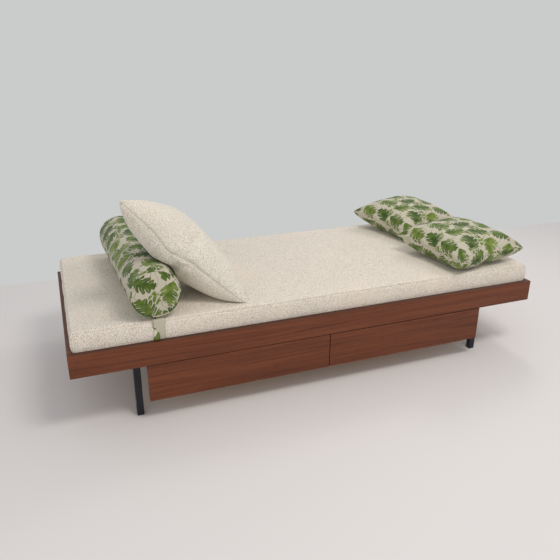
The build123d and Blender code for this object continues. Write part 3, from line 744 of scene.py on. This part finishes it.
def rounded_ring(half_x, half_y, radius, count_x, count_y):
    """Points round a rectangle with rounded corners, counter-clockwise, evenly along each side."""
    flat_x, flat_y = half_x - radius, half_y - radius
    sides = (
        ((flat_x, -half_y), (-1, 0), flat_x, count_x, -90),
        ((half_x, flat_y), (0, -1), flat_y, count_y, 0),
        ((-flat_x, half_y), (1, 0), flat_x, count_x, 90),
        ((-half_x, -flat_y), (0, 1), flat_y, count_y, 180),
    )
    ring = []
    for (end_x, end_y), (back_x, back_y), flat, count, start in sides:
        for step in range(count):
            left = 2 * flat * (1 - step / count)
            ring.append((end_x + back_x * left, end_y + back_y * left))
        centre_x = end_x if back_x else end_x - math.copysign(radius, end_x)
        centre_y = end_y if back_y else end_y - math.copysign(radius, end_y)
        ring += arc(centre_x, centre_y, radius, start, range(CORNER_STEPS), CORNER_STEPS)
    return ring


def mattress_mesh(half_x, half_y, thickness):
    """Rings up the border, then a flat grid for each panel: (points, faces)."""
    count_x, count_y = (round(2 * half / MATTRESS_CELL) for half in (half_x, half_y))
    profile = mattress_profile(thickness)
    points, faces = [], []
    for inset, height in profile:
        radius = max(MATTRESS_CORNER - inset, 0.0)
        ring = rounded_ring(half_x - inset, half_y - inset, radius, count_x, count_y)
        points += [(x, y, height) for x, y in ring]
    for level in range(len(profile) - 1):
        base, above = level * len(ring), (level + 1) * len(ring)
        for place in range(len(ring)):
            after = (place + 1) % len(ring)
            faces.append((base + place, base + after, above + after, above + place))
    panel_x, panel_y = half_x - profile[-1][0], half_y - profile[-1][0]
    for height, upward in ((0.0, False), (thickness, True)):
        start = len(points)
        for row in range(count_y + 1):
            y = panel_y * (2 * row / count_y - 1)
            for column in range(count_x + 1):
                points.append((panel_x * (2 * column / count_x - 1), y, height))
        for row in range(count_y):
            for column in range(count_x):
                first = start + row * (count_x + 1) + column
                face = (first, first + 1, first + count_x + 2, first + count_x + 1)
                faces.append(face if upward else face[::-1])
    return points, faces


def swell_mattress(shape, edge, half_x, half_y, thickness):
    """A crowned, faintly rippled top, a wavy border, and ends that swell over the rails."""
    x, z = shape[:, 0], shape[:, 2]
    on_top = smooth_step(z, thickness * 0.8, thickness)
    in_panel = smooth_step(edge, 0.015, 0.05)
    z -= TOP_EDGE_DROP * on_top * (1 - smooth_step(edge, 0.0, 0.16))
    z += on_top * in_panel * (ripple(shape, *TOP_RIPPLE, 1) - 0.0010)
    border = (1 - in_panel) * smooth_step(z, 0.0, 0.03)
    border *= 1 - smooth_step(z, thickness - 0.012, thickness)
    at_side = np.array((half_x, half_y)) - np.abs(shape[:, :2]) < 0.02
    outward = np.sign(shape[:, :2]) * at_side
    shape[:, :2] += outward * (border * ripple(shape, *BORDER_RIPPLE, 2))[:, None]
    over_rail = smooth_step(z, RAIL_RISE - 0.001, RAIL_RISE + 0.009)
    over_rail *= 1 - 0.6 * smooth_step(z, thickness - 0.03, thickness)
    near_end = smooth_step(np.abs(x), half_x - 0.06, half_x)
    x += np.sign(x) * np.where(x > 0, RIGHT_END_BULGE, END_BULGE) * over_rail * near_end


def mattress():
    low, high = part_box("mattress_cover")
    half_x, half_y = (high.x - low.x) / 2, (high.y - low.y) / 2
    thickness = high.z - low.z
    piece = new_piece("mattress", *mattress_mesh(half_x, half_y, thickness), BOUCLE_MATTRESS)
    weld = piece.modifiers.new("weld", "WELD")
    weld.merge_threshold = WELD_GAP
    bake_modifiers(piece)
    shape = read_points(piece.data)
    edge = np.minimum(half_x - np.abs(shape[:, 0]), half_y - np.abs(shape[:, 1]))
    # the border seams get a weaker painted shade line
    seams = (BORDER_SEAM_DROP, thickness - BORDER_SEAM_DROP)
    from_seam = np.min([np.abs(shape[:, 2] - height) for height in seams], axis=0)
    in_border = edge <= BORDER_SEAM_DEPTH + 0.001
    mark_seams(piece.data, np.where(in_border, from_seam, 1.0), BORDER_SEAM_SHARE)
    swell_mattress(shape, edge, half_x, half_y, thickness)
    shape += np.array(((low.x + high.x) / 2, (low.y + high.y) / 2, low.z))
    finish_soft(piece, shape, "boucle", 0.95, "mattress_cover", "mattress_core")


# ---- bolster
def bolster_profile(radius, half_length):
    """(distance from the axis, place along it) from the front cap's middle to the back's."""
    shares = [step / BOLSTER_CAP_RINGS for step in range(1, BOLSTER_CAP_RINGS)]
    cap = [(radius * share, half_length + BOLSTER_RISE * (1 - share**2)) for share in shares]
    places = [2 * step / BOLSTER_RINGS - 1 for step in range(BOLSTER_RINGS + 1)]
    side = [(radius, half_length * place) for place in places]
    return [(reach, -y) for reach, y in cap] + side + cap[::-1]


def bolster_mesh(radius, half_length):
    """Rings from cap to cap, closed at the poles: (points, faces, cloth)."""
    profile = bolster_profile(radius - BOLSTER_SLACK, half_length)
    segments = BOLSTER_SEGMENTS
    turns = [2 * math.pi * place / segments for place in range(segments)]
    points = [(reach * math.cos(turn), y, reach * math.sin(turn))
              for reach, y in profile for turn in turns]
    front_pole, back_pole = len(points), len(points) + 1
    points += [(0.0, side * (half_length + BOLSTER_RISE), 0.0) for side in (-1, 1)]
    faces, cloth = [], []
    around = 2 * math.pi * radius / segments

    def add_cap_face(face, offset):
        faces.append(face)
        cloth.append([(points[corner][0] + offset, points[corner][2]) for corner in face])

    for level in range(len(profile) - 1):
        (_, y_low), (_, y_high) = profile[level:level + 2]
        base, above = level * segments, (level + 1) * segments
        for place in range(segments):
            after = (place + 1) % segments
            face = (base + place, above + place, above + after, base + after)
            if BOLSTER_CAP_RINGS - 1 <= level < BOLSTER_CAP_RINGS - 1 + BOLSTER_RINGS:
                left, right = place * around, (place + 1) * around
                faces.append(face)
                cloth.append(((left, y_low), (left, y_high), (right, y_high), (right, y_low)))
            else:
                add_cap_face(face, FRONT_CAP_CUT if y_low < 0 else BACK_CAP_CUT)
    last = (len(profile) - 1) * segments
    for place in range(segments):
        after = (place + 1) % segments
        add_cap_face((front_pole, place, after), FRONT_CAP_CUT)
        add_cap_face((back_pole, last + after, last + place), BACK_CAP_CUT)
    return points, faces, cloth


def radial(points):
    """Unit directions away from the Y axis."""
    out = np.array(points) * (1, 0, 1)
    return out / np.maximum(lengths(out), TINY)


def bolster():
    low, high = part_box("bolster_cover")
    half_length = (high.y - low.y) / 2 - BOLSTER_DOME - BOLSTER_END_GAP
    points, faces, cloth = bolster_mesh((high.x - low.x) / 2, half_length)
    piece = new_piece("bolster", points, faces, PRINT, cloth)
    shape = read_points(piece.data)
    inflate(piece, BOLSTER_PRESSURE, BOLSTER_FRAMES)
    shape += limited(read_points(piece.data) - shape, BOLSTER_SWELL)
    shape += ripple(shape * (1, 0.45, 1), *BOLSTER_RIPPLE, 3)[:, None] * radial(shape)
    from_rim = np.abs(np.abs(shape[:, 1]) - half_length)
    shape -= (RIM_DRAW * np.exp(-((from_rim / RIM_REACH) ** 2)))[:, None] * radial(shape)
    turned = np.array(Matrix.Rotation(BOLSTER_TURN, 3, "Z"))
    shape = shape @ turned.T + np.array((low + high) / 2)
    shape[:, 2] = soft_floor(shape[:, 2], MATTRESS_TOP + BOLSTER_REST_GAP, soft=0.006)
    finish_soft(piece, shape, "leaf_print", 0.9, "bolster_cover", "bolster_core")
    first = BOLSTER_CAP_RINGS - 1
    cord = {"Radius": PIPING_RADIUS, "Steps": 10, "Material": PIPING}
    for end, row in (("front", first), ("back", first + BOLSTER_RINGS)):
        rim = shape[row * BOLSTER_SEGMENTS:(row + 1) * BOLSTER_SEGMENTS]
        trim(f"bolster_piping_{end}", rim, TUBE_TREE, cord, closed=True)


# ---- strap
def strap_path(half, bottom, top):
    """(y, z) points round the mattress and its rounded edges, at about even spacing."""
    corners = ((half, bottom, -90), (half, top, 0), (-half, top, 90), (-half, bottom, 180))
    path = []
    for corner_y, corner_z, start in corners:
        centre_y = corner_y - math.copysign(STRAP_CORNER, corner_y)
        centre_z = corner_z + (STRAP_CORNER if corner_z == bottom else -STRAP_CORNER)
        steps = range(STRAP_CORNER_STEPS + 1)
        path += arc(centre_y, centre_z, STRAP_CORNER + 0.001, start, steps, STRAP_CORNER_STEPS)
    return evenly(path, STRAP_ROW)


def evenly(path, spacing):
    """A closed path's points again, at about even spacing."""
    closed = np.array(path + [path[0]])
    travel = travelled(closed)
    count = int(round(travel[-1] / spacing))
    at = np.linspace(0, travel[-1], count, endpoint=False)
    return [tuple(float(np.interp(t, travel, closed[:, axis])) for axis in range(2)) for t in at]


def strap_mesh(path, middle_x, width, travel):
    """A closed band along the path, with its print cut from the cloth at one place."""
    shares = [column / STRAP_COLUMNS - 0.5 for column in range(STRAP_COLUMNS + 1)]
    points = [(middle_x + width * share, y, z) for y, z in path for share in shares]
    across = [STRAP_PRINT_FROM[0] + width * (share + 0.5) for share in shares]
    faces, cloth = [], []
    for row in range(len(path)):
        this_row, next_row = (n % len(path) * len(shares) for n in (row, row + 1))
        down, up = (STRAP_PRINT_FROM[1] + length for length in travel[row:row + 2])
        for column in range(STRAP_COLUMNS):
            first, second = this_row + column, next_row + column
            faces.append((first, first + 1, second + 1, second))
            left, right = across[column:column + 2]
            cloth.append(((left, down), (right, down), (right, up), (left, up)))
    return points, faces, cloth


def strap():
    """The band that runs round the mattress under the bolster."""
    low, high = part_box("bolster_strap")
    width = high.x - low.x
    inner = STRAP_THICKNESS + STRAP_GAP
    half = (high.y - low.y) / 2 - inner
    path = strap_path(half, low.z + inner, high.z - inner)
    travel = travelled(np.array(path + [path[0]]))
    points, faces, cloth = strap_mesh(path, (low.x + high.x) / 2, width, travel)
    piece = new_piece("bolster_strap_band", points, faces, SPARSE_PRINT, cloth)
    thick = piece.modifiers.new("cloth", "SOLIDIFY")
    thick.thickness = STRAP_CLOTH
    thick.offset = 1.0
    bake_modifiers(piece)
    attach(piece, "root")
    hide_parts("bolster_strap")
    front = sorted((z, y) for y, z in path if y < -half + 0.004)
    edge_x, off_cloth = low.x + STITCH_FROM_EDGE, STRAP_CLOTH + STRAP_GAP
    stitch = {"Pitch": STITCH_PITCH, "Length": STITCH_LENGTH, "Radius": STITCH_RADIUS}
    line = [(edge_x, y - off_cloth, z) for z, y in front]
    trim("strap_stitches", line, STITCH_TREE, {**stitch, "Material": THREAD})


# ---- cushions
def domed(u, v, half_x, half_y, rise, draw):
    """Points on one panel of a plump cushion; u and v run from -1 to 1 between its seams."""
    near_u, near_v = ((1 - np.abs(way) ** PANEL_POWER).clip(0) for way in (u, v))
    form = (near_u * near_v) ** PANEL_ROUND
    x = half_x * u * (1 - draw * (1 - v**2))
    y = half_y * v * (1 - draw * (1 - u**2))
    return np.stack([x, y, rise * form], axis=-1)


def seam_to_seam(half, rise):
    """Places across a panel, closer together at the seams, and the cloth's length to each."""
    count = 2 * round((half + rise / 2) / CUSHION_CELL)
    places, fine = (np.sin(np.linspace(-math.pi / 2, math.pi / 2, n)) for n in (count + 1, 400))
    path = domed(fine, 0 * fine, half, half, rise, 0.0)
    return places, np.interp(places, fine, travelled(path))


def sewn_cover(name, half_x, half_y, crown, underside, draw, material):
    """Two panels sewn round their edge, and each point's distance to the seam over the cloth.

    The local frame has X along the length, Y along the width and Z through the thickness."""
    u_places, cloth_x = seam_to_seam(half_x, crown)
    v_places, cloth_y = seam_to_seam(half_y, crown)
    across, along = np.meshgrid(v_places, u_places, indexing="ij")
    upper_points = domed(along, across, half_x, half_y, crown, draw)
    lower_points = domed(along, across, half_x, half_y, -underside, draw)
    rows, columns = len(v_places), len(u_places)
    upper = {place: index for index, place in enumerate(np.ndindex(rows, columns))}
    lower = dict(upper)
    points = [upper_points[place] for place in upper]
    for row in range(1, rows - 1):
        for column in range(1, columns - 1):
            lower[row, column] = len(points)
            points.append(lower_points[row, column])
    faces, cloth = [], []
    for panel, offset in ((upper, 0.0), (lower, UNDERSIDE_CUT)):
        for row, column in np.ndindex(rows - 1, columns - 1):
            corners = ((row, column), (row, column + 1), (row + 1, column + 1), (row + 1, column))
            if panel is lower:
                corners = corners[::-1]
            faces.append(tuple(panel[c] for c in corners))
            cloth.append([(cloth_x[c[1]] + offset, cloth_y[c[0]]) for c in corners])
    to_side_x, to_side_y = (np.minimum(way, way[-1] - way) for way in (cloth_x, cloth_y))
    from_seam = np.zeros(len(points))
    for (row, column), index in (*upper.items(), *lower.items()):
        from_seam[index] = min(to_side_x[column], to_side_y[row])
    return new_piece(name, points, faces, material, cloth), from_seam


def smoothed(mesh, values, rounds):
    """Values at the mesh's points, averaged with their neighbours again and again."""
    edges = np.empty(len(mesh.edges) * 2, np.int64)
    mesh.edges.foreach_get("vertices", edges)
    first, second = edges.reshape(-1, 2).T
    count = np.bincount(edges, minlength=len(values))[:, None]
    for _ in range(rounds):
        total = np.zeros_like(values)
        np.add.at(total, first, values[second])
        np.add.at(total, second, values[first])
        values = (values + total / count) / 2
    return values


def crease(piece, swell):
    """Blow the cover up as oversized cloth; keep its creases and a share of its new form."""
    form = read_points(piece.data)
    inflate(piece, CUSHION_PRESSURE, CUSHION_FRAMES, CUSHION_GROWTH)
    moved = read_points(piece.data) - form
    slow = smoothed(piece.data, moved, CREASE_ROUNDS)
    write_points(piece.data, form + limited(moved - slow + swell * slow, CREASE_DEPTH))


def draw_in_seam(piece, from_seam):
    """A shallow valley along the seam, from each point's distance to it over the cloth."""
    shape = read_points(piece.data)
    inward = (shape.mean(axis=0) - shape) * (1, 1, 0)
    inward /= np.maximum(lengths(inward), TINY)
    valley = SEAM_VALLEY * np.exp(-((from_seam / SEAM_REACH) ** 2))
    write_points(piece.data, shape + inward * valley[:, None])


def made_cushion(name, half_x, half_y, crown, underside, draw, material, swell):
    """A sewn, creased cover with its seam drawn in and marked for painted shade, still in its local
    frame.
    """
    piece, from_seam = sewn_cover(name, half_x, half_y, crown, underside, draw, material)
    crease(piece, swell)
    draw_in_seam(piece, from_seam)
    mark_seams(piece.data, from_seam)
    return piece


def settle(shape):
    """Hold a cushion's points above the mattress."""
    shape[:, 2] = soft_floor(shape[:, 2], MATTRESS_TOP + REST_GAP)


def placed(shape, along, normal, middle):
    """Local points in the row frame, with local X along and local Z along the normal."""
    along = Vector(along).normalized()
    normal = Vector(normal).normalized()
    across = normal.cross(along)
    return shape @ np.array((along, across, normal)) + np.array(middle)


def square_pillow(name, size, turns, shift):
    """A printed scatter pillow, lying askew on the mattress."""
    piece = made_cushion(name, size[0], *size, SQUARE_DRAW, PRINT, SQUARE_SWELL)
    low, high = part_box(f"{name}_cover")
    turn, rise_x, rise_y = (math.radians(angle) for angle in turns)
    along = Vector((math.cos(rise_x), 0, math.sin(rise_x)))
    across = Vector((0, math.cos(rise_y), math.sin(rise_y)))
    spin = Matrix.Rotation(turn, 3, "Z")
    normal = spin @ along.cross(across)
    middle = (low + high) / 2 + Vector(shift)
    shape = placed(read_points(piece.data), spin @ along, normal, middle)
    settle(shape)
    finish_soft(piece, shape, "leaf_print", 0.85, f"{name}_cover", f"{name}_pad")


def clear_bolster(shape):
    """Push any point that lies in the bolster out to its cloth."""
    low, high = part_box("bolster_cover")
    axis = (low + high) / 2
    keep = (high.x - low.x) / 2 + BOLSTER_GAP
    axis_x = axis.x - math.tan(BOLSTER_TURN) * (shape[:, 1] - axis.y)
    off_x, off_z = shape[:, 0] - axis_x, shape[:, 2] - axis.z
    distance = np.hypot(off_x, off_z)
    beside = (shape[:, 1] > low.y - 0.01) & (shape[:, 1] < high.y + 0.01)
    push = np.where(beside, np.maximum(keep - distance, 0.0), 0.0) / np.maximum(distance, 1e-6)
    shape[:, 0] += off_x * push
    shape[:, 2] += off_z * push


def long_cushion():
    """The boucle cushion that leans on the bolster, its far upper corner hanging over."""
    piece = made_cushion("long_cushion", *LONG_HALF, LONG_CROWN, LONG_UNDERSIDE, LONG_DRAW,
                         BOUCLE_CUSHION, LONG_SWELL)
    low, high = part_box("long_cushion_cover")
    shape = read_points(piece.data)
    u, v = shape[:, 0] / LONG_HALF[0], shape[:, 1] / LONG_HALF[1]
    off_fold = (u + LONG_FOLD_PLACE) / LONG_FOLD_REACH
    fold = np.exp(-(off_fold**2)) * smooth_step(-v, 0.40, 1.0)
    shape[:, 2] -= LONG_BOW * (1 - u**2) + LONG_FOLD * fold
    shape = shape @ np.array(Matrix.Rotation(LONG_ROLL, 3, "X")).T
    along = (math.cos(LONG_LEAN), 0, -math.sin(LONG_LEAN))
    normal = (math.sin(LONG_LEAN), 0, math.cos(LONG_LEAN))
    shape = placed(shape, along, normal, (low + high) / 2 + Vector(LONG_SHIFT))
    hang = smooth_step(-u, LONG_HANG_FROM[0], 1.0) * smooth_step(v, LONG_HANG_FROM[1], 1.0)
    shape[:, 0] += LONG_HANG[0] * hang
    shape[:, 2] -= LONG_HANG[1] * hang
    settle(shape)
    clear_bolster(shape)
    finish_soft(piece, shape, "boucle", 0.85, "long_cushion_cover", "long_cushion_pad")


# ---- stage, light, camera
def stage():
    """A plain pale floor; the world's own colour stands behind it."""
    material, _, _ = new_material("floor_paint", Roughness=0.8, Base_Color=(228, 223, 220))
    near, far_left, far_right, side = -4.0, 1.27, 1.02, 6.0
    corners = [(-side, near, 0), (side, near, 0), (side, far_right, 0), (-side, far_left, 0)]
    new_piece("floor", corners, [(0, 1, 2, 3)], material)


def surround():
    """An even pale light from all sides, and a slightly darker grey where it is seen."""
    world = bpy.data.worlds.new("surround")
    bpy.context.scene.world = world
    world.use_nodes = True
    tree = Tree(world.node_tree)
    background = world.node_tree.nodes["Background"]
    output = world.node_tree.nodes["World Output"]
    tree.end(background.inputs, Color=(236, 238, 242), Strength=0.70)
    seen = tree.add("ShaderNodeBackground", {"Color": (202, 204, 203), "Strength": 1.0})
    rays = tree.add("ShaderNodeLightPath").outputs
    direct = tree.math("MAXIMUM", rays["Is Camera Ray"], rays["Is Transmission Ray"])
    direct = tree.math("MAXIMUM", direct, rays["Is Glossy Ray"])
    shaders = {0: direct, 1: background.outputs[0], 2: seen.outputs[0]}
    tree.feed(output.inputs["Surface"], tree.add("ShaderNodeMixShader", shaders).outputs[0])


def panel_lamp(name, place, size, watts):
    """A rectangular lamp aimed at the bed."""
    panel = bpy.data.lights.new(name, "AREA")
    panel.shape = "RECTANGLE"
    panel.size, panel.size_y = size
    panel.energy = watts
    panel.color = (1.0, 0.965, 0.92)
    lamp = bpy.data.objects.new(name, panel)
    lamp.location = place
    aim = Vector((0.0, 0.0, 0.3)) - lamp.location
    lamp.rotation_euler = aim.to_track_quat("-Z", "Y").to_euler()
    bpy.context.scene.collection.objects.link(lamp)


CAMERA_PLACE = (-0.940, -2.295, 1.294)
CAMERA_TURNS = (21.18, 21.85, 0.32)  # to the right, down and clockwise, in degrees
SENSOR_WIDTH, FOCAL_LENGTH = 36.0, 38.35


def camera():
    """The eye, before the bolster's end and a little below a standing person's."""
    yaw, pitch, roll = (math.radians(angle) for angle in CAMERA_TURNS)
    level = math.cos(pitch)
    forward = Vector((math.sin(yaw) * level, math.cos(yaw) * level, -math.sin(pitch)))
    right = Vector((math.cos(yaw), -math.sin(yaw), 0))
    down = forward.cross(right)
    tilted_right = right * math.cos(roll) - down * math.sin(roll)
    tilted_down = right * math.sin(roll) + down * math.cos(roll)
    lens = bpy.data.cameras.new("camera")
    lens.sensor_width, lens.lens = SENSOR_WIDTH, FOCAL_LENGTH
    eye = bpy.data.objects.new("camera", lens)
    turned = Matrix((tilted_right, -tilted_down, -forward)).transposed().to_4x4()
    eye.matrix_world = Matrix.Translation(CAMERA_PLACE) @ turned
    bpy.context.scene.collection.objects.link(eye)
    bpy.context.scene.camera = eye


camera()
surround()
panel_lamp("ceiling", (0.6, -2.0, 3.5), (1.3, 0.8), 49.5)
panel_lamp("far_right", (1.6, 0.9, 2.0), (0.5, 0.5), 8.0)
panel_lamp("left_fill", (-2.6, -3.0, 1.3), (2.4, 1.8), 12.0)
stage()
dress_frame()
mattress()
bolster()
strap()
long_cushion()
for pillow, form in PILLOWS.items():
    square_pillow(pillow, *form)

bpy.context.scene.view_settings.view_transform = "Standard"
